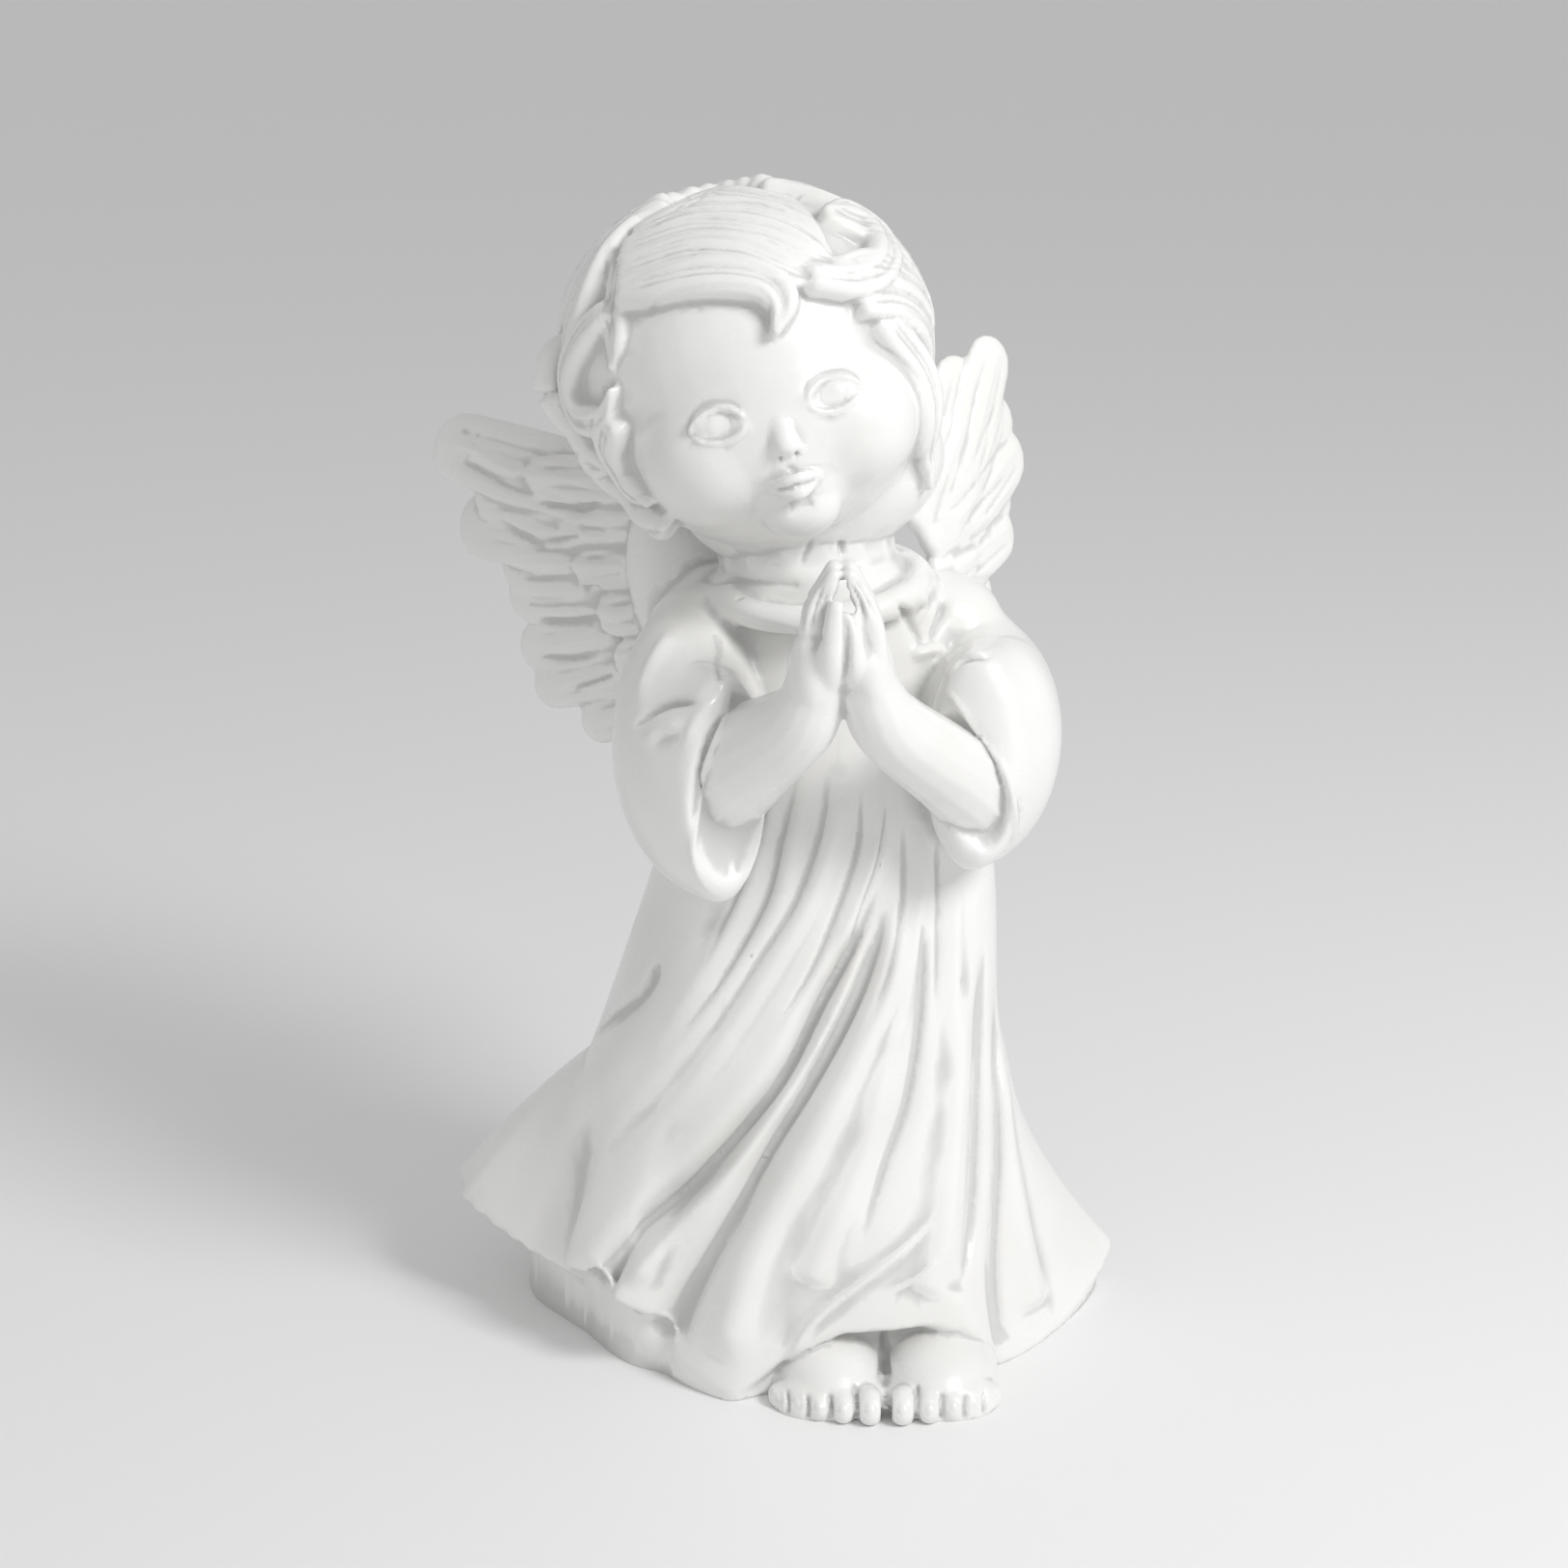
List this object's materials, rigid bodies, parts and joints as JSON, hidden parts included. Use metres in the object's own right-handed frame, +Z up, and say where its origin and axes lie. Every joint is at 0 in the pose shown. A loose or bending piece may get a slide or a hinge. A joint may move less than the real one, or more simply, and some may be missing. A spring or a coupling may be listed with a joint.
{
  "type": "cemetery angel statue",
  "caption": "Small glossy white cast ornament of a praying winged child in a long flowing robe, standing on its flat underside.",
  "frame": {"origin": "middle of the bounding box's bottom face, on the flat underside", "axes": "+Z up; the figure looks towards -Y, and +X is to the right of someone facing it"},
  "size_m": [0.1206, 0.0966, 0.2004],
  "materials": {
    "white_resin": "glossy white cast resin with soft shading in the carving"
  },
  "bodies": {
    "root": {"angel_statue": "white_resin"}
  },
  "joints": []
}
